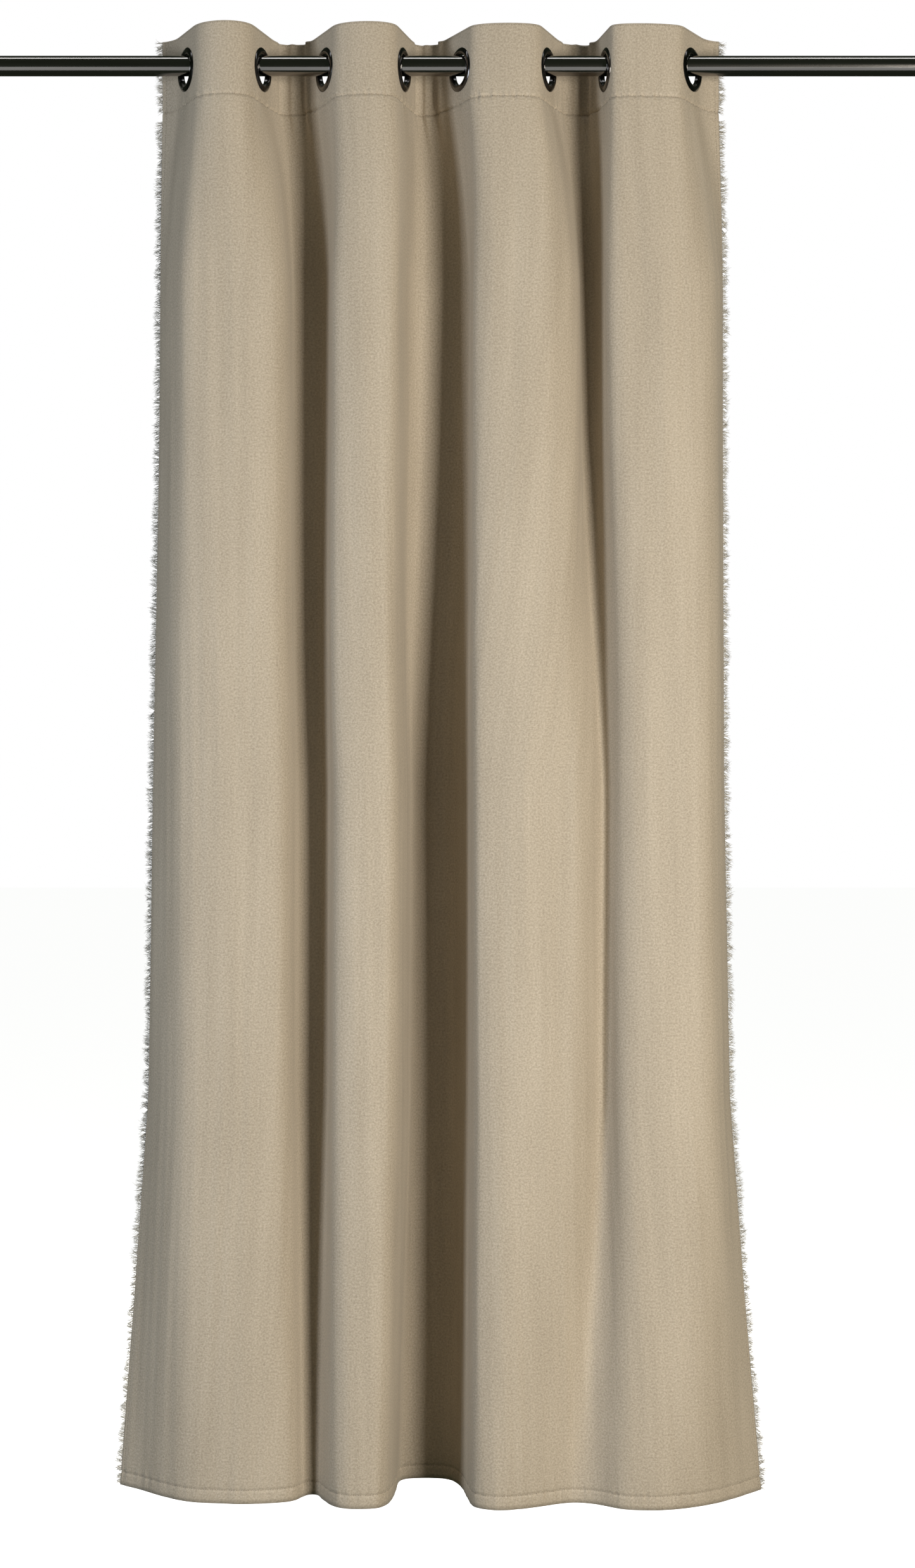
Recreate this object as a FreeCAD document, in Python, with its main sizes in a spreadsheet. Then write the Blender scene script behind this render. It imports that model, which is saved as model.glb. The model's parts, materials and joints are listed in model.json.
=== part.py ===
import FreeCAD, Part
import math
import os
import re
import Sketcher

# One velvet curtain panel with eight eyelets, hanging on a round rod between
# two wall brackets. Millimetres, +Z up. The origin lies on the wall, midway
# between the brackets at the height of the rod's axis; the room is towards -Y.

V = FreeCAD.Vector
SIDES = (("left", -1), ("right", 1))
EYELETS = range(1, 9)

SIZES = {
    # rod and its two end caps
    "rod_radius": 15, "rod_wall": 1.5, "rod_length": 1600,
    "cap_gap": 0.15, "cap_wall": 2.85, "cap_sleeve": 22, "cap_plate": 8, "cap_round": 3,
    "cap_screw_radius": 2, "cap_screw_length": 4, "cap_screw_inset": 11,
    # wall brackets
    "bracket_half_span": 760, "bracket_reach": 140,
    "plate_radius": 32, "plate_thick": 5, "plate_round": 2,
    "plate_boss_radius": 11, "plate_boss_length": 12, "plate_boss_fillet": 3,
    "wall_screw_pitch": 40, "wall_screw_radius": 2.6, "wall_screw_head_radius": 5,
    "wall_screw_head_depth": 2.4,
    "arm_radius": 7, "socket_gap": 0.1,
    "arm_bolt_radius": 2.5, "arm_bolt_hole": 3.2, "arm_bolt_head": 6.2,
    "arm_bolt_head_depth": 3, "arm_bolt_length": 22, "arm_bolt_sunk": 0.3, "arm_tap_depth": 24,
    # cradle that the rod lies in
    "cradle_gap": 0.2, "cradle_wall": 4, "cradle_width": 20, "cradle_side": 12,
    "cradle_boss_radius": 11, "cradle_boss_end": 32, "cradle_socket_floor": 20,
    "cradle_boss_root": 10, "cradle_screw_radius": 2.5, "cradle_screw_offset": 26,
    "lock_screw_length": 8, "arm_screw_length": 6, "hex_socket": 1.3, "hex_depth": 2,
    # eyelets: a front ring with a barrel, and a back ring pressed on that barrel
    "bore_radius": 22, "barrel_wall": 1.4, "barrel_back": 4, "barrel_flare": 0.7,
    "bore_back": 2.6, "bore_front": 1.4, "flange_radius": 32.5, "flange_gap": 0.3,
    "flange_edge": 0.55, "crown_radius": 26.5, "crown_height": 4.9,
    "crown_outer_arc": 9, "crown_inner_arc": 4.5, "press_gap": 0.15,
    "back_radius": 31.5, "back_edge": 0.45, "back_crown_radius": 27, "back_crown": 4.4,
    "back_arc": 12,
    "eyelet_drop": 5.8, "cloth_hole_radius": 24.4,
    # cloth
    "cloth_width": 1380, "eyelet_pitch": 177, "flat_margin": 33.4, "fold_round": 11,
    "end_turn": 22, "heading_top": 51, "heading_depth": 107, "cloth_drop": 2149,
    "waist_drop": 1300, "waist_share": 0.3, "hem_round_share": 0.36, "strip_steps": 8,
    "face_thick": 1.4, "stiffener_thick": 0.8, "layer_gap": 0.1,
    "hem_depth": 20, "side_hem_width": 7, "fringe_width": 9, "fringe_thick": 1.2,
}
# where each eyelet sits along the rod, and its plane's angle to the rod
EYELET_X = (-406, -294, -198, -82, 5, 135, 223, 351)
EYELET_YAW = (64, 72.5, 65, 75, 62, 68.5, 78, 60)
# corners of the folds at the bottom hem: along the rod, and behind its axis
HEM_LINE = (
    (-505, 100), (-442, 18), (-400, -34), (-300, -38), (-256, 2), (-210, 6),
    (-172, -60), (-108, -68), (-84, 82), (-6, 82), (14, -70), (104, -72),
    (148, -26), (198, -24), (246, -72), (336, -66), (416, 22), (460, 66),
)

doc = FreeCAD.newDocument("eyelet_curtain")
sheet = doc.addObject("Spreadsheet::Sheet", "sizes")
for number in EYELETS:
    SIZES[f"eyelet_x_{number}"] = EYELET_X[number - 1]
    SIZES[f"eyelet_yaw_{number}"] = EYELET_YAW[number - 1]
for row, (alias, number) in enumerate(SIZES.items(), start=1):
    sheet.set(f"A{row}", alias)
    sheet.set(f"B{row}", str(number))
    sheet.setAlias(f"B{row}", alias)
doc.recompute()


def expression(words):
    """Put the sheet's name before each alias in a formula."""
    return re.sub(r"[a-z_0-9]*[a-z][a-z_0-9]*", lambda found: "sizes." + found.group(), words)


def value(words):
    """The number that a formula of aliases gives."""
    return float(sheet.evalExpression(expression(words)))


def bind(obj, **formulas):
    """Bind properties to formulas of the sheet's aliases."""
    for name, words in formulas.items():
        obj.setExpression(name.replace("__", "."), expression(words))
    return obj


def primitive(kind, name, place=None, **formulas):
    """A Part primitive whose sizes come from the sheet."""
    obj = doc.addObject("Part::" + kind, name)
    bind(obj, **formulas)
    if place:
        obj.Placement = place
    return obj


def located(obj, x="0", y="0", z="0"):
    """Bind where an object stands to formulas of the sheet."""
    return bind(obj, Placement__Base__x=x, Placement__Base__y=y, Placement__Base__z=z)


def facing(direction):
    """The turn that brings +Z to a direction."""
    return FreeCAD.Placement(V(), FreeCAD.Rotation(V(0, 0, 1), direction))


def pin_point(sketch, geo, end, words, across):
    """Fix one coordinate of a point: a distance from the origin, or on its axis."""
    number = value(words)
    if abs(number) < 1e-9:
        sketch.addConstraint(Sketcher.Constraint("PointOnObject", geo, end, -2 if across else -1))
        return
    kind = "DistanceX" if across else "DistanceY"
    ends = (-1, 1, geo, end) if number > 0 else (geo, end, -1, 1)
    index = sketch.addConstraint(Sketcher.Constraint(kind, *ends, abs(number)))
    words = words if number > 0 else f"-({words})"
    sketch.setExpression(f"Constraints[{index}]", expression(words))


def outline(body, plane, corners, arcs=None):
    """A closed sketch of straight sides and arcs, each corner bound to the sheet.

    arcs maps a side's number to the formula of its radius; a minus sign in front
    bows it to the right of its direction instead of to the left."""
    arcs = arcs or {}
    sketch = body.newObject("Sketcher::SketchObject", body.Name + "_outline")
    origin_plane = next(f for f in body.Origin.OriginFeatures if f.Role == plane)
    sketch.AttachmentSupport = [(origin_plane, "")]
    sketch.MapMode = "FlatFace"
    points = [V(value(a), value(b), 0) for a, b in corners]
    starts, ends = [], []
    for side, start in enumerate(points):
        end = points[(side + 1) % len(points)]
        if side not in arcs:
            sketch.addGeometry(Part.LineSegment(start, end))
            starts.append(1)
            ends.append(2)
            continue
        words = arcs[side].lstrip("-")
        radius = value(words)
        chord = end - start
        lift = radius - math.sqrt(radius ** 2 - (chord.Length / 2) ** 2)
        left = V(-chord.y, chord.x, 0).normalize()
        middle = (start + end) / 2 + left * (-lift if arcs[side].startswith("-") else lift)
        sketch.addGeometry(Part.Arc(start, middle, end))
        first = sketch.getPoint(side, 1)
        starts.append(1 if first.distanceToPoint(start) < 1e-6 else 2)
        ends.append(3 - starts[-1])
        index = sketch.addConstraint(Sketcher.Constraint("Radius", side, radius))
        sketch.setExpression(f"Constraints[{index}]", expression(words))
    for side in range(len(points)):
        after = (side + 1) % len(points)
        sketch.addConstraint(
            Sketcher.Constraint("Coincident", side, ends[side], after, starts[after])
        )
    for side, (across, along) in enumerate(corners):
        pin_point(sketch, side, starts[side], across, True)
        pin_point(sketch, side, starts[side], along, False)
    return sketch


def turned_body(name, corners, arcs=None):
    """A piece turned about its own Z axis; corners are (radius, height) formulas."""
    body = doc.addObject("PartDesign::Body", name)
    sketch = outline(body, "XZ_Plane", corners, arcs)
    feature = body.newObject("PartDesign::Revolution", name + "_turn")
    feature.Profile = sketch
    feature.ReferenceAxis = (sketch, ["V_Axis"])
    feature.Angle = 360
    return body


def padded_body(name, plane, corners, arcs, length):
    """A piece with one outline all along its length, which lies midway."""
    body = doc.addObject("PartDesign::Body", name)
    sketch = outline(body, plane, corners, arcs)
    feature = body.newObject("PartDesign::Pad", name + "_pad")
    feature.Profile = sketch
    feature.Midplane = True
    bind(feature, Length=length)
    return body


def group(name, members):
    obj = doc.addObject("Part::Compound", name)
    obj.Links = members
    return obj


def fused(name, base, tool):
    obj = doc.addObject("Part::Fuse", name)
    obj.Base, obj.Tool = base, tool
    return obj


def cut(name, base, tools):
    """A piece with one or more tools taken away."""
    obj = doc.addObject("Part::Cut", name)
    obj.Base = base
    obj.Tool = tools[0] if len(tools) == 1 else group(name + "_tools", tools)
    return obj


def socket_screw(name, radius, length):
    """A headless screw, its tip at the origin and its hex socket at +Z."""
    shank = primitive("Cylinder", name + "_shank", Radius=radius, Height=length)
    socket = primitive(
        "Prism", name + "_socket", Circumradius="hex_socket", Height="hex_depth * 2"
    )
    socket.Polygon = 6
    located(socket, z=f"{length} - hex_depth")
    return cut(name, shank, [socket])


# ---- rod and end caps -------------------------------------------------------

def rod_tube():
    body = doc.addObject("PartDesign::Body", "rod_tube")
    sketch = body.newObject("Sketcher::SketchObject", "rod_section")
    plane = next(f for f in body.Origin.OriginFeatures if f.Role == "YZ_Plane")
    sketch.AttachmentSupport = [(plane, "")]
    sketch.MapMode = "FlatFace"
    for index, words in enumerate(("rod_radius", "rod_radius - rod_wall")):
        sketch.addGeometry(Part.Circle(V(), V(0, 0, 1), value(words)))
        sketch.addConstraint(Sketcher.Constraint("Coincident", index, 3, -1, 1))
        radius = sketch.addConstraint(Sketcher.Constraint("Radius", index, value(words)))
        sketch.setExpression(f"Constraints[{radius}]", expression(words))
    pad = body.newObject("PartDesign::Pad", "rod_length")
    pad.Profile = sketch
    pad.Midplane = True
    bind(pad, Length="rod_length")
    return [located(body, y="-bracket_reach")]


def end_cap(side, sign):
    """A round cap whose sleeve goes over the rod's end."""
    inner = "rod_radius + cap_gap"
    outer = f"{inner} + cap_wall"
    body = turned_body(
        side + "_cap_turning",
        [
            ("0", "0"), (inner, "0"), (inner, "-cap_sleeve"), (outer, "-cap_sleeve"),
            (outer, "cap_plate - cap_round"), (f"{outer} - cap_round", "cap_plate"),
            ("0", "cap_plate"),
        ],
        {4: "cap_round"},
    )
    body.Placement = facing(V(sign, 0, 0))
    located(body, x=f"{sign} * rod_length / 2", y="-bracket_reach")
    hole = primitive(
        "Cylinder", side + "_cap_hole", facing(V(0, 0, -1)),
        Radius="cap_screw_radius + 0.02", Height="rod_radius + cap_wall * 2",
    )
    located(
        hole, x=f"{sign} * (rod_length / 2 - cap_screw_inset)", y="-bracket_reach",
        z="-rod_radius",
    )
    return cut(side + "_end_cap", body, [hole])


def cap_screws():
    screws = []
    for side, sign in SIDES:
        screw = socket_screw(side + "_cap_screw", "cap_screw_radius", "cap_screw_length")
        screw.Placement = facing(V(0, 0, -1))
        located(
            screw, x=f"{sign} * (rod_length / 2 - cap_screw_inset)", y="-bracket_reach",
            z="-rod_radius",
        )
        screws.append(screw)
    return group("end_cap_grub_screws", screws)


# ---- brackets ---------------------------------------------------------------

def wall_plate(side, sign):
    """A round plate with a socket for the arm and two countersunk screw holes."""
    boss_top = "plate_thick + plate_boss_length"
    socket = "arm_radius + socket_gap"
    body = turned_body(
        side + "_plate_turning",
        [
            ("arm_bolt_head", "0"), ("plate_radius", "0"),
            ("plate_radius", "plate_thick - plate_round"),
            ("plate_radius - plate_round", "plate_thick"),
            ("plate_boss_radius + plate_boss_fillet", "plate_thick"),
            ("plate_boss_radius", "plate_thick + plate_boss_fillet"),
            ("plate_boss_radius", boss_top), (socket, boss_top), (socket, "plate_thick"),
            ("arm_bolt_hole", "plate_thick"), ("arm_bolt_hole", "arm_bolt_head_depth"),
        ],
        {2: "-plate_round", 4: "plate_boss_fillet"},
    )
    body.Placement = facing(V(0, -1, 0))
    located(body, x=f"{sign} * bracket_half_span")
    tools = []
    for level, end in (("upper", 1), ("lower", -1)):
        hole = primitive(
            "Cylinder", f"{side}_{level}_screw_hole", facing(V(0, -1, 0)),
            Radius="wall_screw_radius", Height="plate_thick",
        )
        sink = primitive(
            "Cone", f"{side}_{level}_countersink", facing(V(0, -1, 0)),
            Radius1="wall_screw_radius", Radius2="wall_screw_head_radius",
            Height="wall_screw_head_depth",
        )
        place = {
            "x": f"{sign} * bracket_half_span", "z": f"{end} * wall_screw_pitch / 2",
        }
        located(hole, **place)
        located(sink, y="wall_screw_head_depth - plate_thick", **place)
        tools += [hole, sink]
    return cut(side + "_wall_plate", body, tools)


def bracket_arm(side, sign):
    """A round bar from the plate's socket to the cradle's, tapped at the wall end."""
    tip = "bracket_reach - cradle_socket_floor"
    body = turned_body(
        side + "_bracket_arm",
        [
            ("arm_bolt_radius", "plate_thick"), ("arm_radius", "plate_thick"),
            ("arm_radius", tip), ("0", tip), ("0", "arm_tap_depth"),
            ("arm_bolt_radius", "arm_tap_depth"),
        ],
    )
    body.Placement = facing(V(0, -1, 0))
    return located(body, x=f"{sign} * bracket_half_span")


def arm_bolts():
    """Countersunk bolts that hold each arm to its plate from behind."""
    bolts = []
    for side, sign in SIDES:
        neck = "arm_bolt_hole - 0.2"
        body = turned_body(
            side + "_bolt_turning",
            [
                ("0", "arm_bolt_sunk"), ("arm_bolt_head - 0.5", "arm_bolt_sunk"),
                (neck, "arm_bolt_head_depth"), (neck, "plate_thick - 0.1"),
                ("arm_bolt_radius - 0.05", "plate_thick - 0.1"),
                ("arm_bolt_radius - 0.05", "arm_bolt_length"), ("0", "arm_bolt_length"),
            ],
        )
        socket = primitive(
            "Prism", side + "_bolt_socket", Circumradius="hex_socket * 1.5",
            Height="hex_depth",
        )
        socket.Polygon = 6
        bolt = cut(side + "_arm_bolt", body, [socket])
        bolt.Placement = facing(V(0, -1, 0))
        bolts.append(located(bolt, x=f"{sign} * bracket_half_span"))
    return group("bracket_arm_bolts", bolts)


def cradle(side, sign):
    """An open-topped cup under the rod, with a socket for the arm behind it."""
    inner = "(rod_radius + cradle_gap)"
    outer = "(rod_radius + cradle_gap + cradle_wall)"
    shell = padded_body(
        side + "_cradle_outside", "YZ_Plane",
        [(f"-{outer}", "cradle_side"), (f"-{outer}", "0"), ("0", f"-{outer}"),
         (outer, "0"), (outer, "cradle_side")],
        {1: f"-{outer}", 2: f"-{outer}"}, "cradle_width",
    )
    hollow = padded_body(
        side + "_cradle_inside", "YZ_Plane",
        [(f"-{inner}", "cradle_side * 2"), (f"-{inner}", "0"), ("0", f"-{inner}"),
         (inner, "0"), (inner, "cradle_side * 2")],
        {1: f"-{inner}", 2: f"-{inner}"}, "cradle_width * 2",
    )
    boss = primitive(
        "Cylinder", side + "_cradle_boss", facing(V(0, 1, 0)),
        Radius="cradle_boss_radius", Height="cradle_boss_end - cradle_boss_root",
    )
    located(boss, y="cradle_boss_root")
    socket = primitive(
        "Cylinder", side + "_cradle_socket", facing(V(0, 1, 0)),
        Radius="arm_radius + socket_gap", Height="cradle_boss_end",
    )
    located(socket, y="cradle_socket_floor")
    lock_hole = primitive(
        "Cylinder", side + "_lock_hole", facing(V(0, 0, -1)),
        Radius="cradle_screw_radius + 0.02", Height="rod_radius + cradle_wall * 2",
    )
    arm_hole = primitive(
        "Cylinder", side + "_arm_screw_hole", facing(V(0, 0, -1)),
        Radius="cradle_screw_radius + 0.02", Height="cradle_boss_radius + 1",
    )
    located(arm_hole, y="cradle_screw_offset")
    cup = cut(
        side + "_rod_cradle", fused(side + "_cradle_blank", shell, boss),
        [hollow, socket, lock_hole, arm_hole],
    )
    return located(cup, x=f"{sign} * bracket_half_span", y="-bracket_reach")


def cradle_screws(name, length, top, behind):
    """One screw from below in each cradle, its tip against what it holds."""
    screws = []
    for side, sign in SIDES:
        screw = socket_screw(f"{side}_{name}", "cradle_screw_radius", length)
        screw.Placement = facing(V(0, 0, -1))
        located(
            screw, x=f"{sign} * bracket_half_span", y=f"{behind} - bracket_reach", z=top
        )
        screws.append(screw)
    return group(name + "s", screws)


# ---- eyelets ----------------------------------------------------------------

def heading_half():
    """Half the thickness of the heading: two layers of velvet round a stiffener."""
    return "(face_thick + stiffener_thick / 2)"


def eyelet_frame(number):
    """Centre, direction of the cloth from left to right, and front normal of an eyelet."""
    yaw = math.radians(value(f"eyelet_yaw_{number}"))
    along = V(math.cos(yaw), -math.sin(yaw) if number % 2 else math.sin(yaw), 0)
    centre = V(value(f"eyelet_x_{number}"), 0, 0)
    return centre, along, V(along.y, -along.x, 0)


def eyelet_front(number):
    """The domed front ring, with the barrel that goes through the cloth."""
    face = f"{heading_half()} + flange_gap"
    barrel = "bore_radius + barrel_wall"
    return turned_body(
        f"eyelet_{number}_front",
        [
            ("bore_radius", "-bore_back"), ("bore_radius + barrel_flare", "-barrel_back"),
            (barrel, "-barrel_back"), (barrel, face), ("flange_radius", face),
            ("flange_radius", f"{face} + flange_edge"), ("crown_radius", "crown_height"),
            ("bore_radius", "bore_front"),
        ],
        {5: "-crown_outer_arc", 6: "-crown_inner_arc"},
    )


def eyelet_back(number):
    """The flatter ring behind the cloth."""
    face = f"-({heading_half()} + flange_gap)"
    inner = "bore_radius + barrel_wall + press_gap"
    return turned_body(
        f"eyelet_{number}_back",
        [
            (inner, face), (inner, "-barrel_back"), ("back_crown_radius", "-back_crown"),
            ("back_radius", f"{face} - back_edge"), ("back_radius", face),
        ],
        {2: "-back_arc"},
    )


def eyelets():
    rings = []
    for number in EYELETS:
        _, _, front = eyelet_frame(number)
        for ring in (eyelet_front(number), eyelet_back(number)):
            ring.Placement = facing(front)
            located(ring, x=f"eyelet_x_{number}", y="-bracket_reach", z="-eyelet_drop")
            rings.append(ring)
    return rings


# ---- cloth ------------------------------------------------------------------

def unit(vector):
    return V(vector).normalize()


def turn_at(corners, index):
    """How far the line turns at a corner, positive to the left."""
    before = unit(corners[index] - corners[index - 1])
    after = unit(corners[index + 1] - corners[index])
    return math.atan2(before.cross(after).z, before.dot(after))


def path(corners, trims, offset):
    """Runs and arcs through rounded corners, moved sideways towards the room.

    Each item is (start, end) or (start, middle, end)."""
    items = []
    here = None
    last = len(corners) - 1
    for index, corner in enumerate(corners):
        before = unit(corner - corners[index - 1]) if index else None
        after = unit(corners[index + 1] - corner) if index < last else None
        if index in (0, last):
            way = after or before
            point = corner + V(way.y, -way.x, 0) * offset
            if index == last:
                items.append((here, point))
            here = point
            continue
        n_before, n_after = V(before.y, -before.x, 0), V(after.y, -after.x, 0)
        point = corner + (n_before + n_after) * (offset / (1 + n_before.dot(n_after)))
        turn = turn_at(corners, index)
        half = abs(turn) / 2
        radius = trims[index] / math.tan(half) + math.copysign(offset, turn)
        trim = radius * math.tan(half)
        start, end = point - before * trim, point + after * trim
        inward = (after - before).normalize()
        centre = point + inward * (radius / math.cos(half))
        items.append((here, start))
        items.append((start, centre - inward * radius, end))
        here = end
    return items


def length_of(items):
    total = 0
    for item in items:
        if len(item) == 2:
            total += item[0].distanceToPoint(item[1])
        else:
            total += Part.Arc(*item).length()
    return total


def flank_reach(number, depth):
    """Distance along the cloth from an eyelet's centre to a fold of some depth."""
    return depth / math.sin(math.radians(value(f"eyelet_yaw_{number}")))


def fold_between(number, depth):
    """The two corners of the fold after an eyelet, and the trims that round them."""
    corners, trims = [], []
    for eyelet, way in ((number, 1), (number + 1, -1)):
        centre, along, _ = eyelet_frame(eyelet)
        reach = flank_reach(eyelet, depth)
        corners.append(centre + along * (way * reach))
        trims.append(min(value("fold_round"), reach - value("flat_margin")))
    return corners, trims


def fold_depth(number):
    """The depth at which a fold uses up the cloth between its two eyelets."""
    low = value("flat_margin")
    high = value("eyelet_pitch") / 2
    first, second = eyelet_frame(number)[0], eyelet_frame(number + 1)[0]
    while high - low > 0.001:
        middle = (low + high) / 2
        corners, trims = fold_between(number, middle)
        used = length_of(path([first, *corners, second], [0, *trims, 0], 0))
        low, high = (middle, high) if used < value("eyelet_pitch") else (low, middle)
    return low


def heading_end(number, way):
    """The corner and the free end of the cloth outside the first or last eyelet."""
    centre, along, _ = eyelet_frame(number)
    out = along * way
    margin = (value("cloth_width") - 7 * value("eyelet_pitch")) / 2
    flat = value("flat_margin") + value("fold_round") / 3
    corner = centre + out * flat
    flatter = FreeCAD.Rotation(V(0, 0, 1), -way * value("end_turn")).multVec(out)
    return corner, corner + flatter * (margin - flat)


def heading_line():
    """Corners and trims of the cloth at the heading."""
    corner, end = heading_end(1, -1)
    corners, trims = [end, corner], [0, value("fold_round") / 3]
    for number in range(1, 8):
        pair, rounds = fold_between(number, fold_depth(number))
        corners += pair
        trims += rounds
    corner, end = heading_end(8, 1)
    return corners + [corner, end], trims + [value("fold_round") / 3, 0]


def even_trims(corners):
    """Trims that are a share of the shorter run beside each corner."""
    trims = [0]
    for index in range(1, len(corners) - 1):
        beside = (corners[index] - corners[index - 1], corners[index + 1] - corners[index])
        trims.append(value("hem_round_share") * min(run.Length for run in beside))
    return trims + [0]


def blended(first, second, share):
    return [a + (b - a) * share for a, b in zip(first, second)]


def levels():
    """(height, corners, trims) of the cloth at the heading's top and seam, waist and hem."""
    corners, trims = heading_line()
    hem = [V(x, y, 0) for x, y in HEM_LINE]
    waist = blended(corners, hem, value("waist_share"))
    top = value("heading_top")
    return [
        (top, corners, trims),
        (top - value("heading_depth"), corners, trims),
        (-value("waist_drop"), waist, even_trims(waist)),
        (-value("cloth_drop"), hem, even_trims(hem)),
    ]


def edges_of(items):
    made = []
    for item in items:
        made.append(Part.LineSegment(*item) if len(item) == 2 else Part.Arc(*item))
    return [curve.toShape() for curve in made]


def band_wire(level, near, far):
    """The closed outline of a layer at one level, between two sideways offsets."""
    height, corners, trims = level
    front, back = path(corners, trims, near), path(corners, trims, far)
    back = [tuple(reversed(item)) for item in reversed(back)]
    front_end, back_start = front[-1][-1], back[0][0]
    closing = (back[-1][-1], front[0][0])
    wire = Part.Wire(edges_of(front + [(front_end, back_start)] + back + [closing]))
    wire.translate(V(0, -value("bracket_reach"), height))
    return wire


def strip_wire(level, end, inward, outward, near, far):
    """The outline of a narrow strip along a side edge at one level."""
    height, corners, _ = level
    edge, next_corner = (corners[0], corners[1]) if end < 0 else (corners[-1], corners[-2])
    out = unit(edge - next_corner)
    front = V(out.y, -out.x, 0) * end
    points = [
        edge + out * along + front * across
        for along, across in ((-inward, near), (outward, near), (outward, far), (-inward, far))
    ]
    wire = Part.makePolygon(points + [points[0]])
    wire.translate(V(0, -value("bracket_reach"), height))
    return wire


def between(first, second, height):
    """The cloth's line at a height between two levels."""
    share = (first[0] - height) / (first[0] - second[0])
    corners = blended(first[1], second[1], share)
    return height, corners, even_trims(corners)


def stepped(main):
    """The main levels with evenly spaced ones between each pair, to follow a twist."""
    steps = int(value("strip_steps"))
    found = []
    for first, second in zip(main, main[1:]):
        for step in range(steps):
            height = first[0] + (second[0] - first[0]) * step / steps
            found.append(between(first, second, height))
    return found + [main[-1]]


def piece(name, shape):
    obj = doc.addObject("Part::Feature", name)
    obj.Shape = shape
    obj.Placement = FreeCAD.Placement()
    return obj


def eyelet_holes():
    """Round cutters through the heading, one at each eyelet."""
    cutters = []
    length = 10 * value(heading_half())
    for number in EYELETS:
        centre, _, front = eyelet_frame(number)
        centre += V(0, -value("bracket_reach"), -value("eyelet_drop"))
        start = centre - front * (length / 2)
        cutters.append(Part.makeCylinder(value("cloth_hole_radius"), length, start, front))
    return cutters


def cloth():
    """The panel, what is sewn into its heading, its hems and its two fringes."""
    top, seam, waist, hem = levels()
    half = value(heading_half())
    stiff = value("stiffener_thick") / 2
    gap, thick = value("layer_gap"), value("face_thick")
    holes = eyelet_holes()
    face = Part.makeLoft([band_wire(lv, half, stiff) for lv in (top, seam, waist, hem)], True, True)
    stiffener = Part.makeLoft([band_wire(lv, stiff, -stiff) for lv in (top, seam)], True, True)
    facing_layer = Part.makeLoft([band_wire(lv, -stiff, -half) for lv in (top, seam)], True, True)
    hem_top = between(waist, hem, hem[0] + value("hem_depth"))
    hem_layer = Part.makeLoft(
        [band_wire(lv, stiff - gap, stiff - gap - thick) for lv in (hem_top, hem)], True, True
    )
    made = [
        piece("curtain_panel", face.cut(holes)),
        piece("heading_stiffener", stiffener.cut(holes)),
        piece("heading_facing", facing_layer.cut(holes)),
        piece("bottom_hem_facing", hem_layer),
    ]
    hem_end = between(waist, hem, hem_top[0] + gap)
    side_levels = stepped([between(seam, waist, seam[0] - gap), waist, hem_end])
    fringe_levels = [top] + stepped([seam, waist, hem])
    fringe_mid = (half + stiff) / 2
    fringe_half = value("fringe_thick") / 2
    for side, end in SIDES:
        wires = [
            strip_wire(lv, end, value("side_hem_width"), 0, stiff - gap, stiff - gap - thick)
            for lv in side_levels
        ]
        made.append(piece(side + "_side_hem", Part.makeLoft(wires, True, True)))
        wires = [
            strip_wire(
                lv, end, 0, value("fringe_width"), fringe_mid + fringe_half,
                fringe_mid - fringe_half,
            )
            for lv in fringe_levels
        ]
        made.append(piece(side + "_fringe", Part.makeLoft(wires, True, True)))
    return made


# ---- the whole object -------------------------------------------------------

nodes = rod_tube()
for side, sign in SIDES:
    nodes += [
        end_cap(side, sign), wall_plate(side, sign), bracket_arm(side, sign), cradle(side, sign)
    ]
nodes.append(cap_screws())
nodes.append(arm_bolts())
nodes.append(cradle_screws("rod_lock_screw", "lock_screw_length", "-rod_radius", "0"))
nodes.append(
    cradle_screws("arm_grub_screw", "arm_screw_length", "-arm_radius", "cradle_screw_offset")
)
nodes += eyelets()
doc.recompute()
nodes += cloth()
doc.recompute()

for obj in doc.Objects:
    if {"Invalid", "Error"} & set(obj.State):
        raise RuntimeError(f"{obj.Name} did not compute: {obj.State}")
for obj in nodes:
    obj.Label = obj.Name
    if obj.Shape.isNull() or not obj.Shape.isValid() or not obj.Shape.Solids:
        raise RuntimeError(f"{obj.Name} is not a valid solid")

used = [length_of(path(corners, trims, 0)) for _, corners, trims in levels()]
print("cloth width at the four levels:", [round(each, 1) for each in used])
print("fold depths:", [round(fold_depth(number), 1) for number in range(1, 8)])

os.makedirs("parts", exist_ok=True)
for obj in nodes:
    obj.Shape.exportStep(f"parts/{obj.Label}.step")
print(len(nodes), "sub-parts written")
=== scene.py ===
"""An eyelet curtain on a rod: the looks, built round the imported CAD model.

All lengths are in metres. X runs along the rod, Y goes into the wall and Z is up. A place on the cloth is
s, measured along it from its left edge, and z, its height. Depth is measured from the rod's axis, towards
the wall."""

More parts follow.
